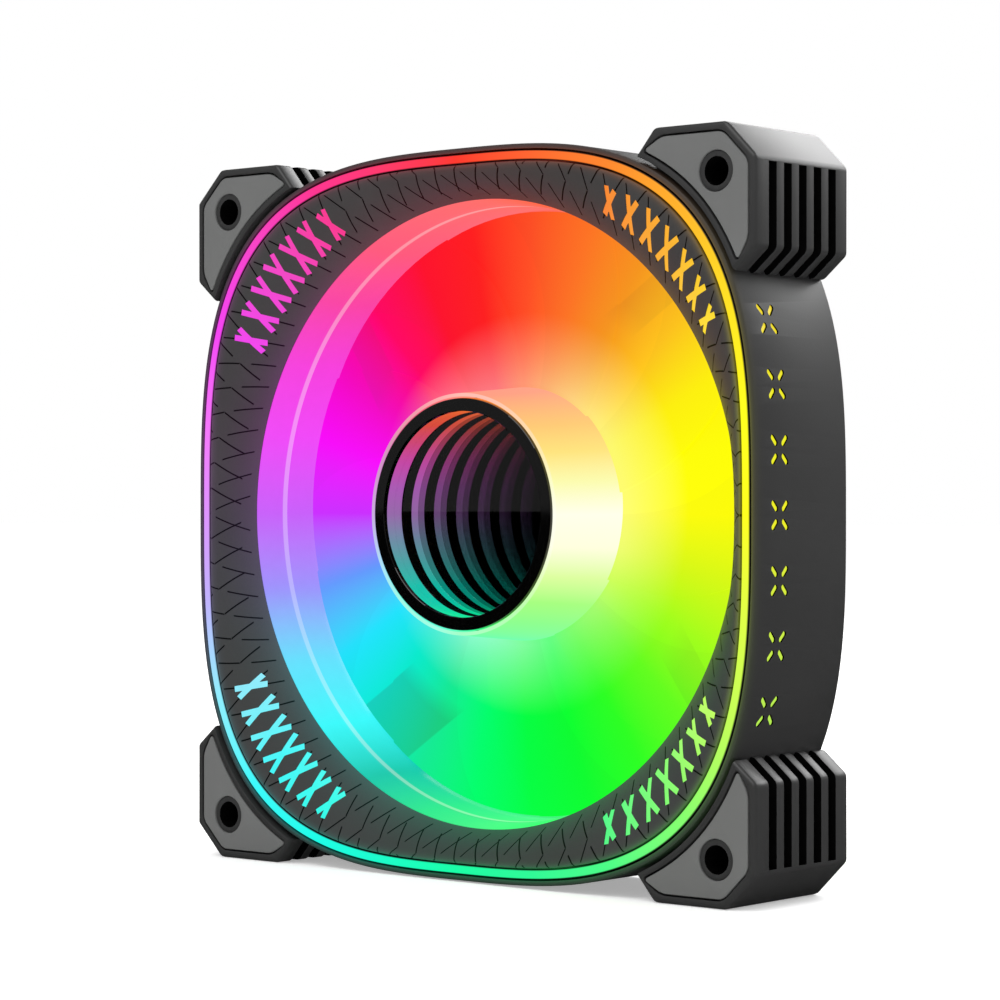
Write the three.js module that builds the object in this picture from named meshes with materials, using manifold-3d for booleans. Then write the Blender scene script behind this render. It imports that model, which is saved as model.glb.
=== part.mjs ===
// Case fan, 120 mm square and 25 mm deep, with a lit front ring and a mirrored hub.
// Millimetres. The spin axis is Y through the origin, the intake face looks along -Y, Z is up.
import * as THREE from "three";
import { mergeVertices } from "three/addons/utils/BufferGeometryUtils.js";
import Module from "manifold-3d";

const wasm = await Module();
wasm.setup();

// Overall size and mounting pattern
const HALF_SIZE = 60;
const FRONT = -12.5;
const REAR = 12.5;
const HOLE_OFFSET = 52.5;
const HOLE_R = 2.25;
const HOLE_STEP_R = 3.2;
const GAP = 0.3;
const SEGMENTS = 60;
const HUB_SEGMENTS = 36;
const HOLE_SEGMENTS = 16;

// Rounded-square barrel
const POWER = 3.11;
const BARREL_HALF = 59.8;
const BARREL_LIP_HALF = 59;
const BARREL_INNER_HALF = 58.2;
const BARREL_FRONT = -12.2;
const FLOOR_Y = 10.9;
const BORE_R = 51.3;

// Corner blocks
const CHAMFER = 5.6;
const BLOCK_REACH = 19.4;
const BLOCK_INNER = 36.9;
const BLOCK_GROOVE_HALF = 60.5;
const PAD_ARC_HALF = 61.6;
const PAD_INSET = 1.5;
const PAD_THICK = 1.2;
const SLOT_WIDTH = 2.05;
const SLOT_PITCH = 4;
const SLOT_DEPTH = 3;

// Side perforations and front windows
const PERF_Y = -5.8;
const PERF_PITCH = 10;
const PERF_GROUPS = 7;
const PERF_STROKE_LENGTH = 2.1;
const PERF_STROKE_WIDTH = 0.95;
const PERF_SPREAD = 1.98;
const PERF_TURNS = [46, 134, 226, 314];
const WINDOW_COUNT = 7;
const WINDOW_STEP = THREE.MathUtils.degToRad(4.5);
const WINDOW_INNER_R = 55.2;
const WINDOW_OUTER_SHARE = 0.955;
const WINDOW_SPREAD = 2.9;
const WINDOW_STROKE = 0.95;

// Front bezel and duct
const RING_INNER_HALF = 57.2;
const RING_OUTER_HALF = 58.7;
const MOUTH_R = 51.9;
const MOUTH_Y = -6;
const DUCT_LIP_R = 50.2;

// Motor base and struts
const BASE_R = 21.2;
const BASE_Y = 10;
const STRUT_FRONT = 9.8;
const STRUT_REAR = 12.2;
const STRUT_WIDTH = 6.5;
const WIDE_STRUT_WIDTH = 13;
const STRUT_ANGLES = [50, 140, 228, 318];
const STRUT_LEAN = 38;
const LEAD_ANGLE = THREE.MathUtils.degToRad(STRUT_ANGLES[2]);
const LEAD_R = 57;

// Impeller
const HUB_FRONT = -11.1;
const HUB_BACK = 7.4;
const HUB_FRONT_R = 19.8;
const HUB_BACK_R = 21.2;
const BLADES = 9;
const BLADE_TIP_R = 50.2;
const BLADE_ROOT_ARC = 21.5;
const BLADE_TIP_ARC = 42.5;
const BLADE_THICK = 1.1;
const SHAFT_R = 1.5;

const DARK_PLASTIC = { color: 0x3b3b3c, roughness: 0.55, metalness: 0 };
const BLACK_GLOSS = { color: 0x0c0c0d, roughness: 0.2, metalness: 0 };
const RUBBER = { color: 0x5d5e5d, roughness: 0.8, metalness: 0 };
const DIFFUSER = { color: 0xe8ecf0, roughness: 0.4, metalness: 0 };
const BOARD = { color: 0x20302a, roughness: 0.5, metalness: 0 };
const LED_WHITE = { color: 0xf4f2e6, roughness: 0.4, metalness: 0 };
const STEEL = { color: 0xa8abb0, roughness: 0.35, metalness: 1 };
const BRASS = { color: 0xc8a04a, roughness: 0.3, metalness: 1 };
const COPPER = { color: 0xb4652f, roughness: 0.4, metalness: 1 };
const MAGNET = { color: 0x2c2a29, roughness: 0.7, metalness: 0 };
const MIRROR = { color: 0xe6e8ea, roughness: 0.03, metalness: 1 };
const SMOKED = { color: 0x1b1c1f, roughness: 0.05, metalness: 0.4 };
const LABEL = { color: 0xc9cbcd, roughness: 0.5, metalness: 0 };

const degrees = THREE.MathUtils.degToRad;
const fan = new THREE.Group();
fan.name = "case_fan";

// Turns a closed three.js geometry into a solid that can be joined and cut.
function toSolid(geometry) {
  const bare = geometry.index ? geometry.toNonIndexed() : geometry.clone();
  bare.deleteAttribute("normal");
  bare.deleteAttribute("uv");
  const merged = mergeVertices(bare, 1e-4);
  const corners = merged.index.array;
  const kept = [];
  for (let i = 0; i < corners.length; i += 3) {
    const [a, b, c] = corners.slice(i, i + 3);
    if (a !== b && b !== c && c !== a) kept.push(a, b, c);
  }
  return new wasm.Manifold(
    new wasm.Mesh({
      numProp: 3,
      vertProperties: merged.attributes.position.array,
      triVerts: new Uint32Array(kept),
    }),
  );
}

function addPart(name, solid, look) {
  const made = solid.getMesh();
  const geometry = new THREE.BufferGeometry();
  geometry.setAttribute("position", new THREE.BufferAttribute(made.vertProperties, 3));
  geometry.setIndex(new THREE.BufferAttribute(made.triVerts, 1));
  geometry.computeVertexNormals();
  const mesh = new THREE.Mesh(geometry, new THREE.MeshStandardMaterial(look));
  mesh.name = name;
  fan.add(mesh);
}

// A solid turned round the spin axis from [radius, y] points, listed front edge first and outwards.
function turned(points, segments = HUB_SEGMENTS) {
  const profile = points.map(([r, y]) => new THREE.Vector2(r, y));
  return toSolid(new THREE.LatheGeometry(profile, segments));
}

function disc(radius, y0, y1, segments = HUB_SEGMENTS) {
  return turned([[0, y0], [radius, y0], [radius, y1], [0, y1]], segments);
}

function tube(inner, outer, y0, y1, segments = HUB_SEGMENTS) {
  return turned([[inner, y0], [outer, y0], [outer, y1], [inner, y1], [inner, y0]], segments);
}

// A flat outline of [x, z] points, drawn anticlockwise seen from behind, made solid from y0 to y1.
function prism(points, y0, y1) {
  const shape = new THREE.Shape(points.map(([x, z]) => new THREE.Vector2(x, z)));
  const depth = y1 - y0;
  const geometry = new THREE.ExtrudeGeometry(shape, { depth, bevelEnabled: false });
  geometry.rotateX(Math.PI / 2);
  geometry.translate(0, y1, 0);
  return toSolid(geometry);
}

function box(width, depth, height, x, y, z) {
  const geometry = new THREE.BoxGeometry(width, depth, height);
  geometry.translate(x, y, z);
  return toSolid(geometry);
}

function spun(solid, angle) {
  return solid.rotate([0, -THREE.MathUtils.radToDeg(angle), 0]);
}

function joined(solids) {
  return solids.reduce((sum, solid) => sum.add(solid));
}

// Distance from the axis to a rounded square (power above 2) or a circle (power 2).
function reach(half, power, angle) {
  const across = Math.abs(Math.cos(angle)) ** power;
  const up = Math.abs(Math.sin(angle)) ** power;
  return half / (across + up) ** (1 / power);
}

const squareEdge = (half, y) => ({ half, power: POWER, y });
const roundEdge = (half, y) => ({ half, power: 2, y });

// A closed ring whose profile runs through the given edges, front edge first and outwards.
function hoop(edges, segments = SEGMENTS) {
  const positions = [];
  const corner = (i, j) => {
    const { half, power, y } = edges[j % edges.length];
    const angle = ((i % segments) * 2 * Math.PI) / segments;
    const r = reach(half, power, angle);
    return [r * Math.cos(angle), y, r * Math.sin(angle)];
  };
  for (let i = 0; i < segments; i++) {
    for (let j = 0; j < edges.length; j++) {
      positions.push(...corner(i, j), ...corner(i, j + 1), ...corner(i + 1, j + 1));
      positions.push(...corner(i, j), ...corner(i + 1, j + 1), ...corner(i + 1, j));
    }
  }
  const geometry = new THREE.BufferGeometry();
  geometry.setAttribute("position", new THREE.Float32BufferAttribute(positions, 3));
  return toSolid(geometry);
}

function roundedSquare(half, y0, y1, segments = SEGMENTS) {
  const points = Array.from({ length: segments }, (_, i) => {
    const angle = (i * 2 * Math.PI) / segments;
    const r = reach(half, POWER, angle);
    return [r * Math.cos(angle), r * Math.sin(angle)];
  });
  return prism(points, y0, y1);
}

function octagonCorner(inset, reachIn) {
  const edge = HALF_SIZE - inset;
  const chamfer = CHAMFER - inset * (2 - Math.SQRT2);
  return [
    [edge, edge - chamfer],
    [edge - chamfer, edge],
    [HALF_SIZE - reachIn, edge],
    [BLOCK_INNER, BLOCK_INNER + 18.7],
    [40, 45],
    [45, 40],
    [BLOCK_INNER + 18.7, BLOCK_INNER],
    [edge, HALF_SIZE - reachIn],
  ];
}

// One corner block: a full-depth post with slots on both outer faces and recesses for the pads.
function cornerBlock() {
  let block = prism(octagonCorner(0, BLOCK_REACH), FRONT, REAR);
  const recess = prism(octagonCorner(PAD_INSET - GAP, BLOCK_REACH - 1.2), -1, 1).subtract(
    roundedSquare(PAD_ARC_HALF - GAP, -2, 2),
  );
  const deep = PAD_THICK + GAP - 1;
  block = block.subtract(recess.translate([0, FRONT + deep, 0]));
  block = block.subtract(recess.translate([0, REAR - deep, 0]));
  const groove = roundedSquare(BLOCK_GROOVE_HALF, FRONT - 1, FRONT + 4);
  block = block.subtract(groove);
  for (let i = -2; i <= 2; i++) {
    const y = i * SLOT_PITCH;
    const side = HALF_SIZE - SLOT_DEPTH / 2 + 0.5;
    block = block.subtract(box(SLOT_DEPTH + 1, SLOT_WIDTH, 19.8, side, y, 43.9));
    block = block.subtract(box(19.8, SLOT_WIDTH, SLOT_DEPTH + 1, 43.9, y, side));
    block = block.subtract(box(8, SLOT_WIDTH, 8, 57.6, y, 37));
    block = block.subtract(box(8, SLOT_WIDTH, 8, 37, y, 57.6));
  }
  return block;
}

function cornerHoles(radius) {
  const hole = disc(radius, FRONT - 1, REAR + 1, HOLE_SEGMENTS).translate([HOLE_OFFSET, 0, HOLE_OFFSET]);
  return joined([0, 1, 2, 3].map((quarter) => spun(hole, (quarter * Math.PI) / 2)));
}

// Slots of one side's perforation groups, each four short strokes meeting in a cross.
function sidePerforations() {
  const strokes = [];
  for (let i = 0; i < PERF_GROUPS; i++) {
    const z = (i - (PERF_GROUPS - 1) / 2) * PERF_PITCH;
    for (const turn of PERF_TURNS) {
      const geometry = new THREE.BoxGeometry(6, PERF_STROKE_LENGTH, PERF_STROKE_WIDTH);
      geometry.translate(0, PERF_SPREAD, 0);
      geometry.rotateX(degrees(turn));
      geometry.translate(HALF_SIZE - 1, PERF_Y, z);
      strokes.push(toSolid(geometry));
    }
  }
  return joined(strokes);
}

function strut(outerAngle, width) {
  const from = degrees(outerAngle);
  const to = degrees(outerAngle + STRUT_LEAN);
  const outer = [54 * Math.cos(from), 54 * Math.sin(from)];
  const inner = [18 * Math.cos(to), 18 * Math.sin(to)];
  const length = Math.hypot(outer[0] - inner[0], outer[1] - inner[1]);
  const heading = Math.atan2(outer[1] - inner[1], outer[0] - inner[0]);
  const bar = box(length, STRUT_REAR - STRUT_FRONT, width, length / 2, 0, 0);
  return spun(bar, heading).translate([inner[0], (STRUT_FRONT + STRUT_REAR) / 2, inner[1]]);
}

function motorBase() {
  return turned([
    [0, 11.2],
    [4.3, 11.2],
    [4.3, 8.7],
    [5.6, 8.7],
    [5.6, BASE_Y],
    [BASE_R - 1.2, BASE_Y],
    [BASE_R - 1.2, 8.1],
    [BASE_R, 8.1],
    [BASE_R, 12.4],
    [18.4, 12.4],
    [18.4, 11.9],
    [0, 11.9],
  ]);
}

function frame() {
  let barrel = roundedSquare(BARREL_HALF, BARREL_FRONT, REAR);
  const blocks = [0, 1, 2, 3].map((quarter) => spun(cornerBlock(), (quarter * Math.PI) / 2));
  barrel = joined([barrel, ...blocks]);
  barrel = barrel.subtract(roundedSquare(BARREL_LIP_HALF, FRONT - 1, -8.3));
  barrel = barrel.subtract(roundedSquare(BARREL_INNER_HALF, -9, FLOOR_Y));
  barrel = barrel.subtract(disc(BORE_R, FLOOR_Y - 1, REAR + 1, SEGMENTS));
  barrel = barrel.subtract(cornerHoles(HOLE_R));
  barrel = barrel.subtract(sidePerforations()).subtract(spun(sidePerforations(), Math.PI));
  const outlet = box(3.6, 4, 7.6, LEAD_R, REAR - 1, 0);
  barrel = barrel.subtract(spun(outlet, LEAD_ANGLE));
  const struts = STRUT_ANGLES.map((angle, i) => {
    return strut(angle, i === 2 ? WIDE_STRUT_WIDTH : STRUT_WIDTH);
  });
  const hub = motorBase();
  const centre = disc(BASE_R - 2, FRONT, REAR + 1);
  const ledge = tube(DUCT_LIP_R - GAP, HALF_SIZE, STRUT_FRONT - 1, FLOOR_Y, SEGMENTS);
  const spokes = joined(struts).subtract(centre).subtract(ledge).subtract(spun(outlet, LEAD_ANGLE));
  return joined([barrel, spokes, hub]);
}

function pad() {
  const outline = prism(octagonCorner(PAD_INSET, BLOCK_REACH - 1.5), 0, PAD_THICK);
  const arc = roundedSquare(PAD_ARC_HALF, -1, PAD_THICK + 1);
  const hole = disc(HOLE_STEP_R, -1, PAD_THICK + 1, HOLE_SEGMENTS).translate([HOLE_OFFSET, 0, HOLE_OFFSET]);
  return outline.subtract(arc).subtract(hole);
}

// The crossed strokes of the upper right corner's windows, as bars along the moulding direction.
function windowStrokes() {
  const strokes = [];
  for (let i = 0; i < WINDOW_COUNT; i++) {
    const fromMiddle = Math.abs(i - (WINDOW_COUNT - 1) / 2) / 3;
    const angle = Math.PI / 4 + (i - (WINDOW_COUNT - 1) / 2) * WINDOW_STEP;
    const outer = WINDOW_OUTER_SHARE * reach(RING_INNER_HALF, POWER, angle);
    const height = outer - WINDOW_INNER_R;
    const spread = WINDOW_SPREAD * (1 - 0.38 * fromMiddle);
    const length = Math.hypot(spread, height);
    const tilt = Math.atan2(spread, height);
    for (const lean of [-tilt, tilt]) {
      const bar = spun(box(length, 12, WINDOW_STROKE, 0, 0, 0), lean);
      strokes.push(spun(bar.translate([(outer + WINDOW_INNER_R) / 2, -9, 0]), angle));
    }
  }
  return joined(strokes);
}

function bezel() {
  const funnel = hoop([
    roundEdge(MOUTH_R, MOUTH_Y),
    squareEdge(56.4, -12.4),
    squareEdge(56.9, -12.4),
    squareEdge(56.9, -10.4),
    roundEdge(MOUTH_R + 1.6, MOUTH_Y),
  ]);
  const windows = [0, 1, 2, 3].map((quarter) => spun(windowStrokes(), (quarter * Math.PI) / 2));
  return funnel.subtract(joined(windows));
}

// A strip of frosted plastic that lies just behind the windows of one corner.
function windowDiffuser() {
  const ring = hoop([
    roundEdge(54.8, -5.8),
    squareEdge(55.5, -8.9),
    squareEdge(55.5, -7.7),
    roundEdge(54.8, -4.6),
  ]);
  const spread = degrees(19);
  const wedge = prism(
    [
      [0, 0],
      [100 * Math.cos(Math.PI / 4 - spread), 100 * Math.sin(Math.PI / 4 - spread)],
      [100 * Math.cos(Math.PI / 4 + spread), 100 * Math.sin(Math.PI / 4 + spread)],
    ],
    -12,
    0,
  );
  return ring.intersect(wedge);
}

function loft(loops) {
  const positions = [];
  const count = loops[0].length;
  for (let k = 0; k + 1 < loops.length; k++) {
    for (let i = 0; i < count; i++) {
      const next = (i + 1) % count;
      positions.push(...loops[k][i], ...loops[k + 1][next], ...loops[k][next]);
      positions.push(...loops[k][i], ...loops[k + 1][i], ...loops[k + 1][next]);
    }
  }
  const last = loops.length - 1;
  for (let i = 1; i + 1 < count; i++) {
    positions.push(...loops[0][0], ...loops[0][i], ...loops[0][i + 1]);
    positions.push(...loops[last][0], ...loops[last][i + 1], ...loops[last][i]);
  }
  const geometry = new THREE.BufferGeometry();
  geometry.setAttribute("position", new THREE.Float32BufferAttribute(positions, 3));
  return toSolid(geometry);
}

// One blade: thin cambered sections wrapped round the axis, swept forward towards the tip.
function blade() {
  const stations = 5;
  const steps = 5;
  const loops = [];
  for (let k = 0; k < stations; k++) {
    const out = k / (stations - 1);
    const r = 19.6 + out * (BLADE_TIP_R - 19.6);
    const arc = BLADE_ROOT_ARC + out * (BLADE_TIP_ARC - BLADE_ROOT_ARC);
    const rise = 2.4 - 0.6 * out;
    const middle = 5.9 + 2.2 * out;
    const sweep = degrees(16) * out * out;
    const side = (sign, t) => {
      const thick = BLADE_THICK * (0.4 + 0.6 * Math.sin(Math.PI * t)) * 0.5;
      const camber = 0.4 * Math.sin(Math.PI * t);
      const y = middle + (t - 0.5) * rise - camber + sign * thick;
      const angle = sweep + ((t - 0.5) * arc) / r;
      return [r * Math.cos(angle), y, r * Math.sin(angle)];
    };
    const loop = [];
    for (let i = 0; i < steps; i++) loop.push(side(-1, i / (steps - 1)));
    for (let i = steps - 1; i >= 0; i--) loop.push(side(1, i / (steps - 1)));
    loops.push(loop);
  }
  return loft(loops);
}

function impeller() {
  const hub = turned([
    [0, -4.5],
    [19.3, -4.5],
    [19.3, HUB_FRONT],
    [HUB_FRONT_R, HUB_FRONT],
    [20.4, -4.5],
    [HUB_BACK_R, 4.5],
    [HUB_BACK_R, HUB_BACK],
    [19.9, HUB_BACK],
    [18.9, -3.3],
    [0, -3.3],
  ]);
  const first = blade();
  const inside = disc(19.5, -20, 20);
  const blades = Array.from({ length: BLADES }, (_, i) => {
    return spun(first, (i * 2 * Math.PI) / BLADES).subtract(inside);
  });
  return joined([hub, ...blades]);
}

function statorCore() {
  const ring = tube(4.3, 7.2, 0, 5, HOLE_SEGMENTS);
  const shoes = tube(13.6, 15.3, 0, 5);
  const arm = box(8, 5, 3.2, 10.4, 2.5, 0);
  const gap = box(6, 7, 3, 15, 2.5, 0);
  let core = joined([ring, shoes, ...[0, 1, 2, 3].map((i) => spun(arm, (i * Math.PI) / 2))]);
  for (let i = 0; i < 4; i++) core = core.subtract(spun(gap, ((i + 0.5) * Math.PI) / 2));
  return core;
}

function coil() {
  const outer = box(5, 8.6, 7.6, 10.5, 2.5, 0);
  const core = box(7, 5.6, 3.8, 10.5, 2.5, 0);
  return outer.subtract(core);
}

function leadGrommet() {
  const plug = box(3, 1.6, 7, LEAD_R, REAR - 0.8, 0);
  const hole = disc(0.9, REAR - 3, REAR + 1, 8);
  const holes = [-2, 0, 2].map((z) => hole.translate([LEAD_R, 0, z]));
  return spun(plug.subtract(joined(holes)), LEAD_ANGLE);
}

function ductDiffuser() {
  return turned(
    [
      [51.3, -5.7],
      [52.7, -5.7],
      [52.7, 10.6],
      [DUCT_LIP_R, 10.6],
      [DUCT_LIP_R, 10],
      [51.3, 9.7],
      [51.3, 1.2],
      [51.1, 1],
      [51.1, -0.1],
      [51.3, -0.3],
      [51.3, -5.7],
    ],
    SEGMENTS,
  );
}

function rotorYoke() {
  return turned([
    [SHAFT_R + GAP, -3],
    [18.5, -3],
    [18.5, 6],
    [17.6, 6],
    [17.6, -2.1],
    [3.2, -2.1],
    [3.2, -1.8],
    [SHAFT_R + GAP, -1.8],
    [SHAFT_R + GAP, -3],
  ]);
}

// Housing
addPart("frame", frame(), DARK_PLASTIC);
addPart("front_bezel", bezel(), DARK_PLASTIC);
addPart(
  "light_ring",
  hoop([
    squareEdge(RING_INNER_HALF, -12.4),
    squareEdge(RING_OUTER_HALF, -12.4),
    squareEdge(RING_OUTER_HALF, -8.6),
    squareEdge(RING_INNER_HALF, -8.6),
  ]),
  DIFFUSER,
);
const corners = ["top_right", "top_left", "bottom_left", "bottom_right"];
corners.forEach((corner, i) => {
  const turn = (i * Math.PI) / 2;
  const face = spun(pad(), turn);
  addPart("front_pad_" + corner, face.translate([0, FRONT, 0]), RUBBER);
  addPart("rear_pad_" + corner, face.translate([0, REAR - PAD_THICK, 0]), RUBBER);
  addPart("window_diffuser_" + corner, spun(windowDiffuser(), turn), DIFFUSER);
});
addPart("duct_diffuser", ductDiffuser(), DIFFUSER);
addPart("led_board", tube(53.1, 57, 9.2, 10.4, SEGMENTS), BOARD);
for (let i = 0; i < 8; i++) {
  const led = box(3.4, 1.6, 3.4, 55, 8, 0);
  addPart("led_" + (i + 1), spun(led, degrees(22.5 + 45 * i)), LED_WHITE);
}
addPart("motor_board", tube(4.6, 15.6, 7.3, 8.3), BOARD);
addPart("stator_core", statorCore(), STEEL);
for (let i = 0; i < 4; i++) {
  addPart("coil_" + (i + 1), spun(coil(), (i * Math.PI) / 2), COPPER);
}
addPart("bearing_tube", tube(3, 4, -1.5, 10.9, HOLE_SEGMENTS), BRASS);
addPart("sleeve_bearing", tube(SHAFT_R + GAP, 2.7, -1.2, 6.8, HOLE_SEGMENTS), BRASS);
addPart("thrust_cap", disc(2.7, 10, 10.8, HOLE_SEGMENTS), BLACK_GLOSS);
addPart("rear_label", disc(18, 12.2, REAR), LABEL);
addPart("lead_grommet", leadGrommet(), RUBBER);

// Impeller, everything that turns
addPart("impeller", impeller(), DIFFUSER);
addPart("hub_ring", tube(16.9, 19, -11.2, -10.4), BLACK_GLOSS);
addPart("hub_lens", disc(16.5, -9, -8.2), SMOKED);
addPart("hub_light_ring", tube(16.9, 18.9, -10.1, -6.8), DIFFUSER);
addPart("hub_spacer", tube(16.9, 18.9, -6.5, -5.6), BLACK_GLOSS);
addPart("hub_mirror", disc(18.9, -5.3, -4.8), MIRROR);
addPart("rotor_yoke", rotorYoke(), STEEL);
addPart("ring_magnet", tube(15.8, 17.3, -1.7, 5.6), MAGNET);
addPart("shaft", disc(SHAFT_R, -3, 9.5, HOLE_SEGMENTS), STEEL);
addPart("retaining_clip", tube(SHAFT_R + GAP, 2.7, 7.1, 7.6, HOLE_SEGMENTS), STEEL);

export default fan;
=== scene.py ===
import math

import bmesh
import bpy
from mathutils import Matrix, Vector


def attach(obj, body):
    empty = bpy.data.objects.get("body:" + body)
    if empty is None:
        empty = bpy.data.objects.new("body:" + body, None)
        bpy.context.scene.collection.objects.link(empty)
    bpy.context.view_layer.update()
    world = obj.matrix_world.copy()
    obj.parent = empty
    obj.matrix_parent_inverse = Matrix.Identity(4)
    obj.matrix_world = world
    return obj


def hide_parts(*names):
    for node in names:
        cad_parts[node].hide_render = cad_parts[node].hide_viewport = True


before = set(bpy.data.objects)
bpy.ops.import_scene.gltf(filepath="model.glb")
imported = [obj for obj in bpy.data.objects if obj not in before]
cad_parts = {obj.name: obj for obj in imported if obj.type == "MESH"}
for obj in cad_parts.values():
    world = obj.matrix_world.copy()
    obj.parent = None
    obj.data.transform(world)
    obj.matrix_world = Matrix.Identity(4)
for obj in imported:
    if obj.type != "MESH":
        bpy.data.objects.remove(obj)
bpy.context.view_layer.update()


# Barrel. The rounded-square wall of the fan's frame, moulded in satin charcoal plastic.
# Its back closes in to the round bore, and both flanks are pierced by small slots in crosses.
MM = 0.001
SQUARENESS = 3.11
BARREL_HALF = 59.8
BARREL_OUTLINE = [
    (59.0, -12.2),
    (59.4, -12.2),
    (59.68, -12.08),
    (59.8, -11.8),
    (59.8, 12.1),
    (59.68, 12.38),
    (59.4, 12.5),
]
BARREL_INSIDE = [(58.2, 10.9), (58.2, -8.3), (59.0, -8.3)]
BORE_R = 51.3
CHARCOAL = 0.028
SLOT_TURNS = (46, 134, 226, 314)
SLOT_GROUPS = [step * 10.0 for step in range(-3, 4)]
SLOT_DEPTH_AT = -5.8
SLOT_LENGTH = 2.1
SLOT_WIDTH = 0.95
SLOT_SPREAD = 1.98
SLOT_PLAY = 0.06
RING_MIDDLE = 57.95


class Signal:
    """A shader socket that takes part in ordinary arithmetic."""

    def __init__(self, finish, socket):
        self.finish = finish
        self.socket = socket

    def maths(self, operation, *values):
        return self.finish.add("Math", {"operation": operation}, dict(enumerate(values)))

    def __add__(self, other):
        return self.maths("ADD", self, other)

    def __sub__(self, other):
        return self.maths("SUBTRACT", self, other)

    def __rsub__(self, other):
        return self.maths("SUBTRACT", other, self)

    def __mul__(self, other):
        return self.maths("MULTIPLY", self, other)

    def __truediv__(self, other):
        return self.maths("DIVIDE", self, other)

    def __pow__(self, other):
        return self.maths("POWER", self, other)

    def __rpow__(self, other):
        return self.maths("POWER", other, self)

    def __mod__(self, other):
        return self.maths("FLOORED_MODULO", self, other)

    def __abs__(self):
        return self.maths("ABSOLUTE", self)

    def least(self, other):
        return self.maths("MINIMUM", self, other)

    def most(self, other):
        return self.maths("MAXIMUM", self, other)

    def held(self):
        """Kept between 0 and 1."""
        return self.least(1.0).most(0.0)

    __radd__ = __add__
    __rmul__ = __mul__


class Finish:
    """A procedural surface: nodes come from add(), and paint() feeds the shader."""

    def __init__(self, name):
        self.material = bpy.data.materials.new(name)
        self.material.use_nodes = True
        self.tree = self.material.node_tree
        self.shader = self.tree.nodes["Principled BSDF"]

    def add(self, kind, settings=None, inputs=None, output=0):
        node = self.tree.nodes.new("ShaderNode" + kind)
        for key, value in (settings or {}).items():
            if key == "stops":
                stops = node.color_ramp.elements
                while len(stops) > 1:
                    stops.remove(stops[-1])
                stops[0].position, stops[0].color = value[0]
                for position, colour in value[1:]:
                    stops.new(position).color = colour
            else:
                setattr(node, key, value)
        self.feed(node, inputs or {})
        return Signal(self, node.outputs[output])

    def feed(self, node, inputs):
        for key, value in inputs.items():
            if isinstance(value, Signal):
                self.tree.links.new(value.socket, node.inputs[key])
            else:
                node.inputs[key].default_value = value

    def paint(self, **inputs):
        self.feed(self.shader, {key.replace("_", " "): value for key, value in inputs.items()})
        return self

    def place(self):
        """Where the surface point is, in metres, and its x, y and z in millimetres."""
        spot = self.add("TexCoord", output="Object")
        parts = self.add("SeparateXYZ", inputs={0: spot}).socket.node.outputs
        return spot, *[Signal(self, parts[i]) * 1000.0 for i in range(3)]

    def blend(self, share, first, second, kind="MIX"):
        settings = {"data_type": "RGBA", "blend_type": kind}
        return self.add("Mix", settings, {0: share, 6: first, 7: second}, output=2)

    def noise(self, spot, scale, detail=2.0):
        return self.add("TexNoise", inputs={"Vector": spot, "Scale": scale, "Detail": detail})

    def bump(self, height, distance, strength=1.0):
        inputs = {"Strength": strength, "Distance": distance, "Height": height}
        return self.add("Bump", inputs=inputs)


def grey(value):
    return (value, value, value, 1.0)


def linear(colour):
    """An everyday 0-255 colour as the light values that shaders take."""
    parts = [c / 255 for c in colour]
    return (*[p / 12.92 if p <= 0.04045 else ((p + 0.055) / 1.055) ** 2.4 for p in parts], 1.0)


# Colours of the lit ring every 15 degrees round the axis, from the left by way of the bottom.
RING_COLOURS = [
    (221, 145, 254), (191, 177, 252), (143, 237, 254), (53, 249, 251), (9, 252, 232), (6, 252, 199),
    (2, 254, 165), (36, 248, 149), (71, 252, 132), (132, 254, 107), (193, 254, 84), (222, 254, 64),
    (255, 254, 4), (255, 254, 4), (255, 226, 18), (255, 181, 30), (253, 134, 35), (255, 97, 37),
    (255, 48, 34), (255, 49, 101), (253, 43, 141), (246, 61, 198), (244, 60, 242), (246, 114, 250),
]


def rainbow(finish, x, z, colours):
    """The colour at this angle round the spin axis."""
    turn = finish.add("Math", {"operation": "ARCTAN2"}, {0: z, 1: x}) / (2 * math.pi) + 0.5
    ring = [*colours, colours[0]]
    stops = [(i / len(colours), linear(colour)) for i, colour in enumerate(ring)]
    return finish.add("ValToRGB", {"stops": stops}, {0: turn})


def square_half(x, z):
    """Half the width of the rounded square that passes through this point."""
    return (abs(x) ** SQUARENESS + abs(z) ** SQUARENESS) ** (1 / SQUARENESS)


def band(rows, steps=256):
    """A closed (radius, depth, share of squareness) outline turned round the spin axis."""
    bm = bmesh.new()
    share = bm.verts.layers.float.new("share")
    outline = []
    for radius, depth, squared in rows:
        corner = bm.verts.new((radius, depth, 0))
        corner[share] = squared
        outline.append(corner)
    on_axis = rows[0][0] == 0 and rows[-1][0] == 0
    following = outline[1:] if on_axis else outline[1:] + outline[:1]
    edges = [bm.edges.new(pair) for pair in zip(outline, following)]
    bmesh.ops.spin(
        bm, geom=outline + edges, cent=(0, 0, 0), axis=(0, 1, 0),
        angle=2 * math.pi, steps=steps, use_merge=True,
    )
    for vert in bm.verts:
        radius = math.hypot(vert.co.x, vert.co.z)
        if radius > 1e-6 and vert[share] > 0:
            across = abs(vert.co.x / radius) ** SQUARENESS + abs(vert.co.z / radius) ** SQUARENESS
            pull = 1 + vert[share] * (across ** (-1 / SQUARENESS) - 1)
            vert.co.x *= pull
            vert.co.z *= pull
    bm.verts.layers.float.remove(share)
    return bm


def squared(points):
    return [(radius, depth, 1.0) for radius, depth in points]


def rounded(points):
    return [(radius, depth, 0.0) for radius, depth in points]


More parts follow.
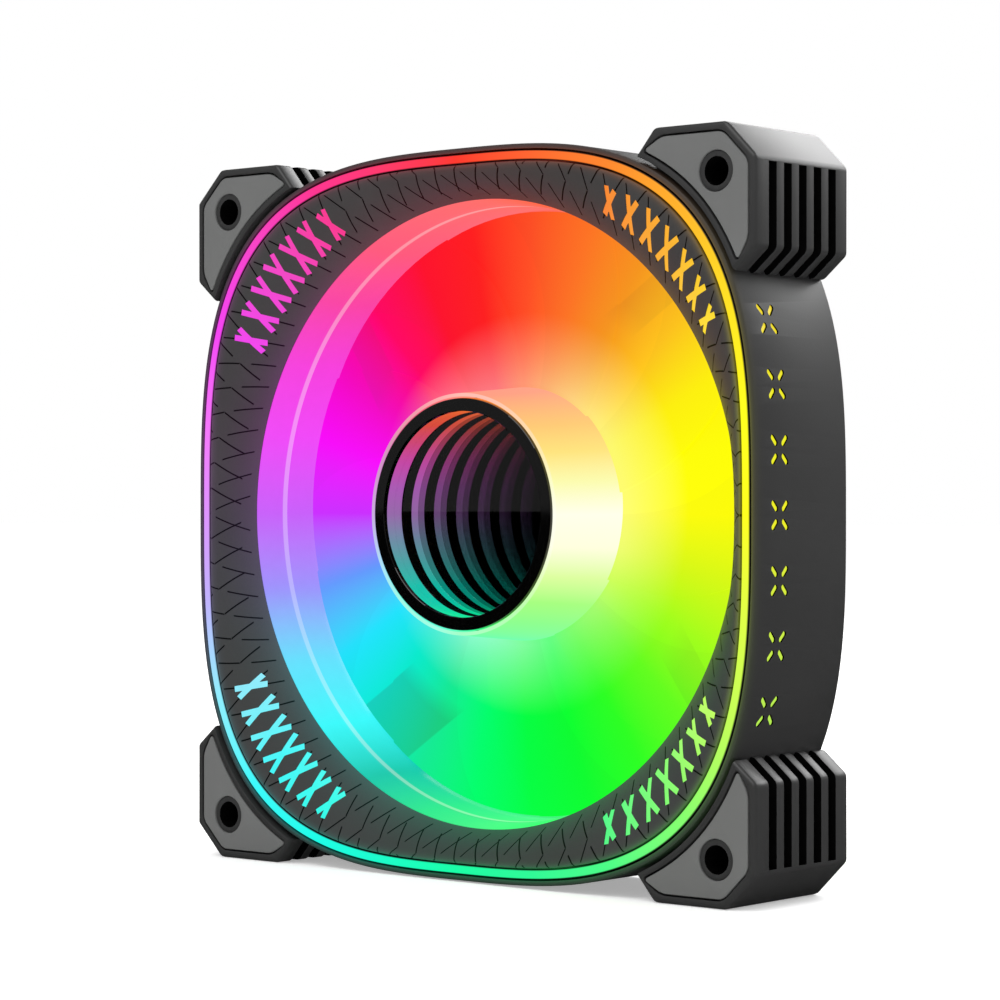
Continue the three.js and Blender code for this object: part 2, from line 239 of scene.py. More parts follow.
def solid(name, bm, finish=None, crisp=32):
    """A closed mesh, drawn in millimetres, as an object in metres."""
    bmesh.ops.remove_doubles(bm, verts=bm.verts, dist=1e-4)
    bmesh.ops.recalc_face_normals(bm, faces=bm.faces)
    bmesh.ops.scale(bm, vec=(MM, MM, MM), verts=bm.verts)
    mesh = bpy.data.meshes.new(name)
    bm.to_mesh(mesh)
    bm.free()
    mesh.shade_smooth()
    mesh.set_sharp_from_angle(angle=math.radians(crisp))
    made = bpy.data.objects.new(name, mesh)
    bpy.context.scene.collection.objects.link(made)
    if finish:
        mesh.materials.append(finish.material)
    return made


def settled(made, crisp=32):
    """The object with its modifiers worked into its mesh."""
    graph = bpy.context.evaluated_depsgraph_get()
    mesh = bpy.data.meshes.new_from_object(made.evaluated_get(graph), depsgraph=graph)
    made.modifiers.clear()
    made.data = mesh
    mesh.shade_smooth()
    mesh.set_sharp_from_angle(angle=math.radians(crisp))
    return made


def carve(made, tool, operation="DIFFERENCE", keep_tool=False):
    cut = made.modifiers.new("cut", "BOOLEAN")
    cut.object = tool
    cut.operation = operation
    cut.solver = "EXACT"
    cut.use_self = True
    cut.material_mode = "TRANSFER"
    settled(made)
    if not keep_tool:
        bpy.data.objects.remove(tool)
    return made


def soften(made, width, limit=35, segments=2):
    """Small rounded edges, as a mould leaves them."""
    round_over = made.modifiers.new("edges", "BEVEL")
    round_over.width = width * MM
    round_over.segments = segments
    round_over.limit_method = "ANGLE"
    round_over.angle_limit = math.radians(limit)
    round_over.use_clamp_overlap = True
    return made


def core(half, y0, y1):
    """A rounded-square block round the spin axis, to cut with."""
    return solid("core", band(squared([(0, y0), (half, y0), (half, y1), (0, y1)])))


def side_strokes(bm, width, height, inner, outer):
    """Round-ended pegs for the crosses of short slots on both flanks."""
    for side in (1, -1):
        for z in SLOT_GROUPS:
            for turn in SLOT_TURNS:
                ring = bmesh.ops.create_circle(bm, cap_ends=True, radius=width / 2, segments=12)
                verts = ring["verts"]
                # Half a step of turn keeps every corner clear of the middle line, so both ends match.
                half_step = Matrix.Rotation(math.pi / 12, 3, "Z")
                bmesh.ops.rotate(bm, cent=(0, 0, 0), matrix=half_step, verts=verts)
                for vert in verts:
                    vert.co.y += math.copysign(height / 2 - width / 2, vert.co.y)
                face = verts[0].link_faces[0]
                grown = bmesh.ops.extrude_face_region(bm, geom=[face])["geom"]
                far = [v for v in grown if isinstance(v, bmesh.types.BMVert)]
                bmesh.ops.translate(bm, vec=(0, 0, outer - inner), verts=far)
                peg = verts + far
                bmesh.ops.translate(bm, vec=(0, SLOT_SPREAD, inner), verts=peg)
                bmesh.ops.rotate(
                    bm, cent=(0, 0, 0), matrix=Matrix.Rotation(math.radians(turn), 3, "Z"), verts=peg
                )
                bmesh.ops.rotate(
                    bm, cent=(0, 0, 0), matrix=Matrix.Rotation(math.radians(90 * side), 3, "Y"), verts=peg
                )
                bmesh.ops.translate(bm, vec=(0, SLOT_DEPTH_AT, z), verts=peg)
    bmesh.ops.recalc_face_normals(bm, faces=bm.faces)
    return bm


def satin_plastic(name, shade, roughness=0.46):
    """Moulded plastic with a fine, even spark-eroded grain."""
    finish = Finish(name)
    spot, *_ = finish.place()
    cloud = finish.noise(spot, 60.0)
    grain = finish.noise(spot, 3200.0, 3.0)
    finish.paint(
        Base_Color=finish.blend(cloud, grey(shade * 0.9), grey(shade * 1.12)),
        Roughness=cloud * 0.1 + (roughness - 0.05),
        Normal=finish.bump(grain, 0.000012),
    )
    return finish


def painted_ring_glow(finish, x, y, z, strength, reach):
    """Painted light: soft colour of the lit ring, painted as emission on the plastic beside it."""
    past = (abs(square_half(x, z) - RING_MIDDLE) - 0.75).most(0.0)
    below = (y + 12.2).most(0.0)
    fade = math.e ** ((past * past + below * below) ** 0.5 / -reach)
    return finish.blend(fade * strength, grey(0), rainbow(finish, x, z, RING_COLOURS))


# Painted shade: the insides of the slots and screw holes get a near-black, unlit surface that stands for the
# shadow deep in them.
painted_hole_shade = Finish("slot_shadow")
spot, *_ = painted_hole_shade.place()
painted_hole_shade.paint(
    Base_Color=painted_hole_shade.blend(painted_hole_shade.noise(spot, 900.0), grey(0.001), grey(0.003)), Roughness=0.9,
    Specular_IOR_Level=0.0,
)

barrel_plastic = satin_plastic("barrel_plastic", CHARCOAL)
_, across, deep, up = barrel_plastic.place()
# The barrel's front edge gets the painted glow of the lit ring as emission.
barrel_plastic.paint(
    Emission_Color=painted_ring_glow(barrel_plastic, across, deep, up, 0.2, 0.4),
    Emission_Strength=1.0,
)
barrel = solid(
    "frame_barrel",
    band(squared(BARREL_OUTLINE) + rounded([(BORE_R, 12.5), (BORE_R, 10.9)]) + squared(BARREL_INSIDE)),
    barrel_plastic,
)
slot_cutter = side_strokes(bmesh.new(), SLOT_WIDTH, SLOT_LENGTH, 54.0, 62.0)
carve(barrel, solid("side_slots", slot_cutter, painted_hole_shade))
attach(barrel, "housing")
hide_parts("frame")

# Side light pegs. Frosted acrylic pegs that fill the flank slots from inside and carry the light out.
# They stop a little short of the wall's face, so each slot keeps its shadowed edge.
peg_glow = Finish("side_peg_glow")
_, across, _, up = peg_glow.place()
peg_glow.paint(
    Base_Color=grey(0.02),
    Roughness=0.4,
    Emission_Color=rainbow(peg_glow, across, up, RING_COLOURS),
    Emission_Strength=0.85,
)
peg_mesh = side_strokes(bmesh.new(), SLOT_WIDTH - SLOT_PLAY, SLOT_LENGTH - SLOT_PLAY, 53.6, 62.0)
side_pegs = solid("side_light_pegs", peg_mesh, peg_glow)
carve(side_pegs, core(BARREL_HALF - 0.25, -20, 20), "INTERSECT")
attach(side_pegs, "housing")


# Corner blocks. Four full-depth posts of the same moulding that take the screws.
# Each has five cooling slots wrapped round its outer faces and a shallow seat for a pad at both ends.
HALF_SIZE = 60.0
FRONT = -12.5
REAR = 12.5
CHAMFER = 5.6
BLOCK_REACH = 19.4
BLOCK_INNER = 36.9
HOLE_AT = 52.5
HOLE_R = 2.25
CORNERS = ["top_right", "top_left", "bottom_left", "bottom_right"]


def corner_outline(inset, reach_in):
    edge = HALF_SIZE - inset
    chamfer = CHAMFER - inset * (2 - math.sqrt(2))
    near = BLOCK_INNER + 18.7
    half = [(edge, edge - chamfer), (edge - chamfer, edge), (HALF_SIZE - reach_in, edge), (BLOCK_INNER, near)]
    return half + [(40, 45), (45, 40), (near, BLOCK_INNER), (edge, HALF_SIZE - reach_in)]


def prism(points, y0, y1):
    """A flat outline of (x, z) points given depth."""
    bm = bmesh.new()
    face = bm.faces.new([bm.verts.new((x, y0, z)) for x, z in points])
    grown = bmesh.ops.extrude_face_region(bm, geom=[face])["geom"]
    far = [v for v in grown if isinstance(v, bmesh.types.BMVert)]
    bmesh.ops.translate(bm, vec=(0, y1 - y0, 0), verts=far)
    bmesh.ops.recalc_face_normals(bm, faces=bm.faces)
    return bm


def box_into(bm, size, centre, turn=0.0):
    """A plain block added to a cutting tool, turned round the spin axis."""
    matrix = (
        Matrix.Rotation(-turn, 4, "Y") @ Matrix.Translation(centre) @ Matrix.Diagonal((*size, 1.0))
    )
    return bmesh.ops.create_cube(bm, size=1.0, matrix=matrix)["verts"]


def round_bar(radius, y0, y1, segments=48):
    """A plain round cutter along the spin axis at a screw hole."""
    bm = band(rounded([(0, y0), (radius, y0), (radius, y1), (0, y1)]), segments)
    bmesh.ops.translate(bm, vec=(HOLE_AT, 0, HOLE_AT), verts=bm.verts)
    return bm


def pad_shape(name, inset, reach_in, arc_half, y0, y1, finish=None, rounding=0.9):
    """The pad's outline: five straight sides and a long arc, with every corner rounded."""
    made = solid(name, prism(corner_outline(inset, reach_in), y0, y1), finish)
    carve(made, core(arc_half, y0 - 2, y1 + 2))
    bm = bmesh.new()
    bm.from_mesh(made.data)
    bmesh.ops.remove_doubles(bm, verts=bm.verts, dist=1e-6)
    upright = []
    for edge in bm.edges:
        heading = (edge.verts[0].co - edge.verts[1].co).normalized()
        if edge.is_manifold and abs(heading.y) > 0.99 and edge.calc_face_angle() > 0.5:
            upright.append(edge)
    bmesh.ops.bevel(
        bm, geom=upright, offset=rounding * MM, affect="EDGES", segments=5, profile=0.5, material=-1,
        offset_type="OFFSET", clamp_overlap=True,
    )
    bm.to_mesh(made.data)
    bm.free()
    return made


def quarter_turned(made, name, quarter):
    """A copy for another corner, with the turn worked into its mesh."""
    copy = made.copy()
    copy.name = name
    copy.data = made.data.copy()
    copy.data.transform(Matrix.Rotation(math.radians(-90 * quarter), 4, "Y"))
    bpy.context.scene.collection.objects.link(copy)
    return copy


block_plastic = satin_plastic("corner_block_plastic", CHARCOAL * 1.05, 0.4)

block_mesh = prism(corner_outline(0, BLOCK_REACH), FRONT, REAR)
bmesh.ops.bevel(
    block_mesh, geom=block_mesh.edges[:], offset=0.65, affect="EDGES", segments=3, profile=0.5, material=-1
)
block = solid("frame_corner", block_mesh, block_plastic)
hollow = band(squared([(0, -20), (60.5, -20), (60.5, -8.5), (59.3, -8.5), (59.3, 20), (0, 20)]))
carve(block, solid("hollow", hollow))
for depth in (FRONT - 1, REAR - 1.5):
    carve(block, pad_shape("seat", 1.2, BLOCK_REACH - 1.2, 61.3, depth, depth + 2.5, rounding=1.2))
slots = bmesh.new()
for step in range(-2, 3):
    y = step * 4.0
    for turned in (0, 1):
        for size, centre in (((4.0, 2.05, 17.0), (59.2, y, 45.3)), ((7.0, 2.05, 5.6), (57.6, y, 37.0))):
            if turned:
                size, centre = size[::-1], centre[::-1]
            box_into(slots, size, centre)
# The straight cut and the one under the chamfer meet, so the slot bends with the face.
slot_tool = solid("slots", slots, painted_hole_shade)
carve(block, slot_tool)
COLLAR_R = 3.1
collars = round_bar(COLLAR_R, FRONT + 0.3, REAR - 0.3)
carve(block, solid("collars", collars, block_plastic), "UNION")
carve(block, solid("screw_hole", round_bar(HOLE_R, FRONT - 2, REAR + 2), painted_hole_shade))
soften(block, 0.16)
settled(block)
for quarter, corner in enumerate(CORNERS):
    corner_block = quarter_turned(block, "frame_corner_" + corner, quarter)
    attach(corner_block, "housing")
    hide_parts("frame")
bpy.data.objects.remove(block)


# Anti-vibration pads. Grey moulded rubber, one on each end of every corner block.
# They are pressed into the shallow seats and stand level with the rim, with a hole for the screw.
pad_rubber = Finish("pad_rubber")
spot, *_ = pad_rubber.place()
mottle = pad_rubber.noise(spot, 90.0)
speckle = pad_rubber.noise(spot, 4200.0, 2.0)
pad_rubber.paint(
    Base_Color=pad_rubber.blend(mottle, (0.118, 0.12, 0.118, 1.0), (0.142, 0.144, 0.142, 1.0)),
    Roughness=mottle * 0.08 + 0.66,
    Normal=pad_rubber.bump(speckle, 0.00001),
)
pad = pad_shape("pad", 1.5, BLOCK_REACH - 1.5, 61.6, FRONT, FRONT + 1.2, pad_rubber)
carve(pad, solid("step_hole", round_bar(3.2, FRONT - 2, FRONT + 3)))
soften(pad, 0.22, segments=3)
settled(pad)
for quarter, corner in enumerate(CORNERS):
    for face, shift in (("front", 0.0), ("rear", REAR - FRONT - 1.2)):
        name = face + "_pad_" + corner
        fitted = quarter_turned(pad, name + "_rubber", quarter)
        if shift:
            fitted.data.transform(Matrix.Translation((0, shift * MM, 0)))
        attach(fitted, "housing")
        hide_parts(name)
bpy.data.objects.remove(pad)


# Motor base and struts. A round plate behind the motor, held by four flat arms that lean round the axis.
# They are one moulding with the barrel, and the widest arm carries the leads to their outlet.
STRUTS = [(50, 6.5), (140, 6.5), (228, 13.0), (318, 6.5)]
STRUT_LEAN = 38
LEAD_TURN = math.radians(228)
base_plastic = satin_plastic("motor_base_plastic", CHARCOAL)
BASE_OUTLINE = [
    (0, 11.2), (4.3, 11.2), (4.3, 8.7), (5.6, 8.7), (5.6, 10.0), (20.0, 10.0), (20.0, 8.3), (20.2, 8.1),
    (21.0, 8.1), (21.2, 8.3), (21.2, 12.1), (20.9, 12.4), (18.7, 12.4), (18.4, 12.1), (18.4, 11.9), (0, 11.9),
]
motor_base = solid("frame_motor_base", band(rounded(BASE_OUTLINE), 128), base_plastic)
arms = bmesh.new()
for angle, width in STRUTS:
    start, end = math.radians(angle), math.radians(angle + STRUT_LEAN)
    outer = (54 * math.cos(start), 54 * math.sin(start))
    inner = (18 * math.cos(end), 18 * math.sin(end))
    length = math.dist(outer, inner)
    heading = math.atan2(outer[1] - inner[1], outer[0] - inner[0])
    verts = box_into(arms, (length, 2.4, width), (length / 2, 0, 0), heading)
    bmesh.ops.translate(arms, vec=(inner[0], 11.0, inner[1]), verts=verts)
struts = solid("frame_struts", arms, base_plastic)
reach_ring = band(rounded([(20.6, 0), (BORE_R, 0), (BORE_R, 20), (20.6, 20)]), 128)
carve(struts, solid("reach_ring", reach_ring), "INTERSECT")
outlet = bmesh.new()
box_into(outlet, (3.6, 4.0, 7.6), (57.0, 11.5, 0), LEAD_TURN)
carve(barrel, solid("lead_outlet", outlet))
soften(struts, 0.45, segments=3)
for made in (motor_base, struts):
    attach(made, "housing")
    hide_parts("frame")


# Front bezel. A shallow dark funnel between the lit ring and the mouth, moulded in satin plastic.
# Crossed lines are engraved all round it, and in each corner seven crosses are cut right through.
MOUTH_R = 51.9
MOUTH_AT = -6.0
FUNNEL_HALF = 56.4
FUNNEL_FRONT = -12.4
FUNNEL_CROWN = 0.7
WINDOW_STEP = math.radians(4.5)
WINDOW_INNER_R = 55.2


def funnel_rows(back=0.0, inset=0.0, steps=8):
    """The funnel's face from mouth to rim, a little crowned between them."""
    rows = []
    for step in range(steps + 1):
        t = step / steps
        radius = MOUTH_R + (FUNNEL_HALF - MOUTH_R) * t
        depth = MOUTH_AT + (FUNNEL_FRONT - MOUTH_AT) * t - FUNNEL_CROWN * math.sin(math.pi * t)
        rows.append((radius, depth + back, FUNNEL_HALF * t / radius))
    return rows


def window_crosses(stroke):
    """The crossed strokes of all four corners, as bars along the moulding direction."""
    bm = bmesh.new()
    for quarter in range(4):
        for i in range(-3, 4):
            angle = math.pi / 4 + i * WINDOW_STEP
            across = math.cos(angle) ** SQUARENESS + math.sin(angle) ** SQUARENESS
            outer = 0.955 * 57.2 * across ** (-1 / SQUARENESS)
            height = outer - WINDOW_INNER_R
            spread = 2.9 * (1 - 0.38 * abs(i) / 3)
            middle = (outer + WINDOW_INNER_R) / 2
            for lean in (-1, 1):
                size = (math.hypot(spread, height), 12.0, stroke)
                verts = box_into(bm, size, (0, 0, 0), lean * math.atan2(spread, height))
                bmesh.ops.translate(bm, vec=(middle, -9.0, 0), verts=verts)
                turn = Matrix.Rotation(-angle - quarter * math.pi / 2, 3, "Y")
                bmesh.ops.rotate(bm, cent=(0, 0, 0), matrix=turn, verts=verts)
    return bm


bezel_plastic = Finish("bezel_plastic")
spot, across, deep, up = bezel_plastic.place()
radius = (across * across + up * up) ** 0.5
half = square_half(across, up)
turn = abs(bezel_plastic.add("Math", {"operation": "ARCTAN2"}, {0: up, 1: across})) * (180 / math.pi)
from_corner = abs(turn % 90.0 - 45.0)
count = (turn - 45.0) / 4.5
rise = (radius - 52.0) / (58.07 * radius / half - 52.0)
shift = ((from_corner - 13.5) / 4.5).most(0.0) * 0.05
lean = (rise - 0.47) * 1.05 - shift
pitch = radius * WINDOW_STEP
crossing = shift * 0.95 + 0.47


def engraved(along, *spans):
    """One family of lines, kept to the given spans of the funnel's width."""
    apart = abs((along + 0.5) % 1.0 - 0.5) * pitch
    line = ((0.16 - apart) / 0.08).held()
    shown = None
    for low, high in spans:
        span = (((rise - low) / 0.012).held() * ((high - rise) / 0.012).held())
        shown = span if shown is None else shown.most(span)
    return line * shown


# The engraved lines are cut into the bump, and their near-black colour is painted shade in the grooves.
lines = engraved(count + lean, (0.20, crossing), (crossing + 0.13, 0.90)).most(
    engraved(count - lean, (crossing, 0.85), (0.07, crossing - 0.136))
)
cloud = bezel_plastic.noise(spot, 70.0)
grain = bezel_plastic.noise(spot, 3200.0, 3.0)
skin = bezel_plastic.blend(cloud, grey(0.04), grey(0.052))
# Painted light: the glow of the duct at the mouth and of the lit ring at the rim is painted on the funnel as
# emission, and left out of the engraved lines.
painted_mouth_glow = math.e ** ((radius - MOUTH_R).most(0.0) / -2.5) * 0.07
halo = painted_ring_glow(bezel_plastic, across, deep, up, 0.24, 0.4)
mouth_light = bezel_plastic.blend(painted_mouth_glow, grey(0), rainbow(bezel_plastic, across, up, RING_COLOURS))
cast_light = bezel_plastic.blend(1.0, halo, mouth_light, "ADD")
bezel_plastic.paint(
    Base_Color=bezel_plastic.blend(lines, skin, grey(0.0015)),
    Roughness=cloud * 0.1 + 0.46 + lines * 0.3,
    Specular_IOR_Level=0.1,
    Normal=bezel_plastic.bump(grain * 0.05 - lines, 0.00018),
    Emission_Color=bezel_plastic.blend(lines * 0.75, cast_light, grey(0)),
    Emission_Strength=1.0,
)
RIM = squared([(56.7, -12.45), (56.95, -12.3), (56.95, -10.4)])
BEZEL_BACK = [(53.7, -6.2, 0.0), (52.6, -5.7, 0.0), (52.0, -5.75, 0.0)]
bezel = solid("bezel", band(funnel_rows() + RIM + BEZEL_BACK), bezel_plastic)
carve(bezel, solid("windows", window_crosses(1.05)))
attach(bezel, "housing")
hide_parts("front_bezel")

# Window strokes. Frosted diffuser moulded into crosses that fill the bezel's windows nearly flush.
# They stand on the strip behind the bezel, which brings them the light of the ring.
stroke_glow = Finish("window_glow")
spot, across, _, up = stroke_glow.place()
frost = stroke_glow.noise(spot, 700.0)
stroke_light = rainbow(stroke_glow, across, up, RING_COLOURS)
stroke_glow.paint(
    Base_Color=grey(0.02),
    Roughness=0.4,
    Emission_Color=stroke_glow.blend(frost * 0.1, stroke_light, grey(0.0)),
    Emission_Strength=1.0,
)
behind = funnel_rows(0.12) + squared([(57.2, -11.0)]) + [(54.0, -5.6, 0.0)]
strokes = solid("window_strokes", band(behind), stroke_glow)
carve(strokes, solid("crosses", window_crosses(1.0)), "INTERSECT")
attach(strokes, "housing")


def dress(finish, *nodes):
    """Solids that already have their right shape, given the finish of their real material."""
    for node in nodes:
        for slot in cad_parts[node].material_slots:
            slot.material = finish.material


dress(stroke_glow, *["window_diffuser_" + corner for corner in CORNERS])


# Lit ring. A frosted light guide let into the front edge between bezel and barrel.
# It runs through the whole rainbow once round the fan.
ring_glow = Finish("ring_glow")
_, across, _, up = ring_glow.place()
ring_core = ((0.7 - abs(square_half(across, up) - RING_MIDDLE)) / 0.14).held()
ring_glow.paint(
    Base_Color=grey(0.01),
    Roughness=0.35,
    Specular_IOR_Level=0.1,
    Emission_Color=ring_glow.blend(ring_core, grey(0.0), rainbow(ring_glow, across, up, RING_COLOURS)),
    Emission_Strength=1.0,
)
RING_OUTLINE = [(57.2, -8.6), (57.2, -12.1), (57.45, -12.4), (58.45, -12.4), (58.7, -12.1), (58.7, -8.6)]
light_ring = solid("light_guide_ring", band(squared(RING_OUTLINE)), ring_glow)
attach(light_ring, "housing")
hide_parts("light_ring")


# Duct wall. A frosted tube that lines the bore and glows all round, paler than the ring.
# A narrow raised seam runs round it a third of the way in.
WALL_COLOURS = [
    (200, 94, 250), (156, 146, 252), (99, 224, 253), (53, 249, 251), (7, 198, 170), (42, 230, 140),
    (71, 240, 132), (56, 248, 110), (60, 255, 84), (120, 254, 70), (180, 244, 60), (215, 244, 50),
    (240, 240, 20), (240, 240, 20), (245, 220, 30), (250, 190, 40), (250, 140, 44), (255, 100, 60),
    (255, 110, 105), (255, 103, 116), (255, 87, 125), (249, 65, 165), (246, 61, 221), (240, 70, 248),
]
wall_glow = Finish("duct_wall_glow")
spot, across, deep, up = wall_glow.place()
seam = ((0.62 - abs(deep - 0.4)) / 0.12).held()
frost = wall_glow.noise(spot, 500.0)
wall_light = rainbow(wall_glow, across, up, WALL_COLOURS)
frosted = wall_glow.blend(frost * 0.05, wall_light, grey(0.0))
wall_glow.paint(
    Base_Color=grey(0.02),
    Roughness=0.4,
    Emission_Color=wall_glow.blend(seam * 0.22, frosted, grey(1.0)),
    Emission_Strength=1.0,
    Specular_IOR_Level=0.1,
)
WALL_OUTLINE = [
    (51.85, -5.6), (52.7, -5.6), (52.7, 10.6), (50.2, 10.6), (50.2, 10.0), (51.3, 9.7),
    (51.3, 1.15), (51.12, 0.95), (51.12, -0.15), (51.3, -0.35), (51.5, -3.0),
]
duct_wall = solid("duct_wall", band(rounded(WALL_OUTLINE)), wall_glow)
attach(duct_wall, "housing")
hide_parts("duct_diffuser")


# Impeller hub. A frosted cup with a slightly flared side, closed by a floor that carries the mirror stack.
# The light of the duct on it is painted as glow, paler at the front rim, and a painted white sheen on the
# right makes it look nearly white on the warm side.
# Colours of the duct's light painted on the hub every 15 degrees, from the left by way of the bottom; the
# near-white run on the right is a painted sheen.
HUB_GLOW_AND_SHEEN_COLOURS = [
    (170, 130, 205), (150, 175, 235), (110, 225, 245), (90, 245, 220), (90, 250, 215), (96, 255, 215),
    (104, 254, 171), (127, 255, 158), (143, 255, 142), (167, 255, 129), (221, 255, 160), (255, 255, 223),
    (255, 255, 235), (251, 251, 176), (255, 227, 127), (255, 202, 119), (255, 181, 126), (255, 160, 132),
    (255, 155, 132), (255, 120, 124), (240, 90, 120), (220, 75, 130), (190, 65, 165), (190, 80, 190),
]
HUB_OUTLINE = [
    (0, -4.5), (19.3, -4.5), (19.3, -10.95), (19.42, -11.1), (19.7, -11.1), (19.85, -10.95), (20.4, -4.5),
    (21.2, 4.5), (21.2, 7.2), (21.0, 7.4), (19.9, 7.4), (18.9, -3.3), (0, -3.3),
]
hub_glow = Finish("hub_glow")
_, across, deep, up = hub_glow.place()
# The painted glow turns paler at the hub's front rim.
rim = ((-10.7 - deep) / 0.2).held()
hub_light = rainbow(hub_glow, across, up, HUB_GLOW_AND_SHEEN_COLOURS)
hub_glow.paint(
    Base_Color=grey(0.0),
    Roughness=0.5,
    Specular_IOR_Level=0.1,
    Emission_Color=hub_glow.blend(rim * 0.28, hub_light, grey(1.0)),
    Emission_Strength=1.0,
)
hub = solid("impeller_hub", band(rounded(HUB_OUTLINE), 192), hub_glow)
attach(hub, "rotor")
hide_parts("impeller")


# Blades. Nine wide overlapping blades of frosted plastic, moulded with the hub.
# They lie shallow at the back of the duct. Their light is painted as glow, with painted shade in dim bands
# where the rear arms stand behind them and a slight painted shading across each blade.
BLADES = 9
ROOT_R = 19.8
TIP_R = 50.7
BLADE_COLOURS = [
    (203, 47, 255), (101, 152, 254), (31, 227, 253), (6, 235, 205), (20, 235, 150), (2, 254, 108),
    (4, 255, 66), (12, 255, 48), (45, 255, 34), (100, 255, 30), (160, 254, 27), (215, 250, 20),
    (255, 254, 4), (255, 254, 4), (255, 241, 11), (255, 196, 28), (246, 150, 30), (255, 116, 36),
    (255, 78, 36), (255, 30, 30), (255, 16, 44), (255, 5, 100), (244, 7, 188), (249, 9, 252),
]
ROOT_COLOURS = [
    (205, 130, 240), (150, 170, 250), (110, 225, 250), (120, 245, 230), (150, 255, 215), (140, 254, 190),
    (130, 255, 160), (100, 254, 130), (130, 254, 110), (165, 254, 110), (205, 255, 90), (240, 255, 110),
    (255, 254, 110), (255, 252, 110), (255, 251, 110), (255, 235, 120), (255, 210, 125), (254, 180, 115),
    (255, 150, 115), (255, 120, 125), (255, 125, 135), (255, 140, 160), (220, 100, 180), (215, 110, 215),
]
blades = bmesh.new()
for number in range(BLADES):
    sheet = bmesh.ops.create_grid(blades, x_segments=14, y_segments=16, size=0.5)["verts"]
    for vert in sheet:
        out, chord = vert.co.x + 0.5, vert.co.y
        r = ROOT_R + out * (TIP_R - ROOT_R)
        arc = 21.5 + out * 21.0
        turn = math.radians(16) * out * out + chord * arc / r + number * 2 * math.pi / BLADES
        depth = 6.0 + 2.4 * out + chord * (1.6 - 1.0 * out) - 0.4 * math.cos(math.pi * chord)
        vert.co = (r * math.cos(turn), depth, r * math.sin(turn))
bmesh.ops.recalc_face_normals(blades, faces=blades.faces)
bmesh.ops.solidify(blades, geom=blades.faces[:], thickness=0.9)

blade_glow = Finish("blade_glow")
_, across, _, up = blade_glow.place()
radius = (across * across + up * up) ** 0.5
near_hub = ((34.0 - radius) / 12.0).held() ** 1.3
outward = ((radius - 36.0) / 4.0).held()
# Painted shade: dim bands on the blades where the rear arms stand behind them.
shade = None
for angle, width in STRUTS:
    start, end = math.radians(angle), math.radians(angle + STRUT_LEAN)
    x0, z0 = 18 * math.cos(end), 18 * math.sin(end)
    heading = math.atan2(54 * math.sin(start) - z0, 54 * math.cos(start) - x0)
    aside = abs((up - z0) * math.cos(heading) - (across - x0) * math.sin(heading))
    along = (across - x0) * math.cos(heading) + (up - z0) * math.sin(heading)
    bar = ((width / 2 - aside) / 0.3).held() * (along / 0.3).held() * (0.35 if width < 10 else 1.0)
    shade = bar if shade is None else shade.most(bar)
blade_turn = blade_glow.add("Math", {"operation": "ARCTAN2"}, {0: up, 1: across}) * (180 / math.pi)
swept = blade_turn - ((radius - ROOT_R) / (TIP_R - ROOT_R)) ** 2.0 * 16.0
leading = (swept % (360.0 / BLADES)) / (360.0 / BLADES)
full = rainbow(blade_glow, across, up, BLADE_COLOURS)
pale = rainbow(blade_glow, across, up, ROOT_COLOURS)
blade_light = blade_glow.blend(near_hub, full, pale)
# Painted shade: the arm bands and a slight darkening across each blade, mixed towards near-black.
painted_blade_shade = shade * outward * 0.25 + leading * 0.03
blade_glow.paint(
    Base_Color=grey(0.0),
    Roughness=0.5,
    Specular_IOR_Level=0.1,
    Emission_Color=blade_glow.blend(painted_blade_shade, blade_light, grey(0.02)),
    Emission_Strength=1.0,
)
blade_set = solid("impeller_blades", blades, blade_glow, crisp=50)
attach(blade_set, "rotor")
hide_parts("impeller")


# Mirrored hub. A half-silvered disc set inside a lit ring, over a black spacer and a full mirror.
# Light bounces between the two mirrors, so the ring repeats inwards as a tunnel; a black band frames it.
MIRROR_AT = -5.53
gloss_black = Finish("gloss_black")
spot, *_ = gloss_black.place()
gloss_black.paint(
    Base_Color=gloss_black.blend(gloss_black.noise(spot, 200.0), grey(0.0008), grey(0.0014)),
    Roughness=0.03,
)
FRAME_BAND = [(16.9, -10.4), (16.9, -11.1), (17.0, -11.2), (18.9, -11.2), (19.0, -11.1), (19.0, -10.4)]
hub_band = solid("hub_black_band", band(rounded(FRAME_BAND), 192), gloss_black)
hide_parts("hub_ring")

TUNNEL_COLOURS = [
    (150, 105, 170), (110, 140, 165), (70, 165, 165), (20, 190, 170), (10, 200, 170), (10, 225, 160),
    (10, 235, 150), (60, 240, 120), (100, 240, 90), (150, 240, 70), (190, 240, 50), (220, 240, 30),
    (240, 235, 20), (245, 225, 30), (250, 205, 40), (250, 180, 45), (250, 160, 50), (245, 135, 50),
    (235, 110, 50), (225, 90, 50), (215, 75, 60), (205, 70, 115), (195, 72, 165), (170, 90, 180),
]
tunnel_glow = Finish("tunnel_glow")
_, across, _, up = tunnel_glow.place()
tunnel_glow.paint(
    Base_Color=grey(0.0),
    Roughness=0.5,
    Emission_Color=rainbow(tunnel_glow, across, up, TUNNEL_COLOURS),
    Emission_Strength=1.0,
)
tunnel_ring = solid(
    "hub_lit_ring",
    band(rounded([(16.9, -10.35), (19.1, -10.35), (19.1, -6.8), (16.9, -6.8)]), 192),
    tunnel_glow,
)
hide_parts("hub_light_ring")

matt_black = Finish("matt_black")
spot, *_ = matt_black.place()
matt_black.paint(
    Base_Color=matt_black.blend(matt_black.noise(spot, 300.0), grey(0.001), grey(0.002)),
    Roughness=0.5,
)
spacer = solid(
    "hub_black_spacer",
    band(rounded([(16.9, -6.8), (19.2, -6.8), (19.2, MIRROR_AT), (16.9, MIRROR_AT)]), 192),
    matt_black,
)
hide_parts("hub_spacer")

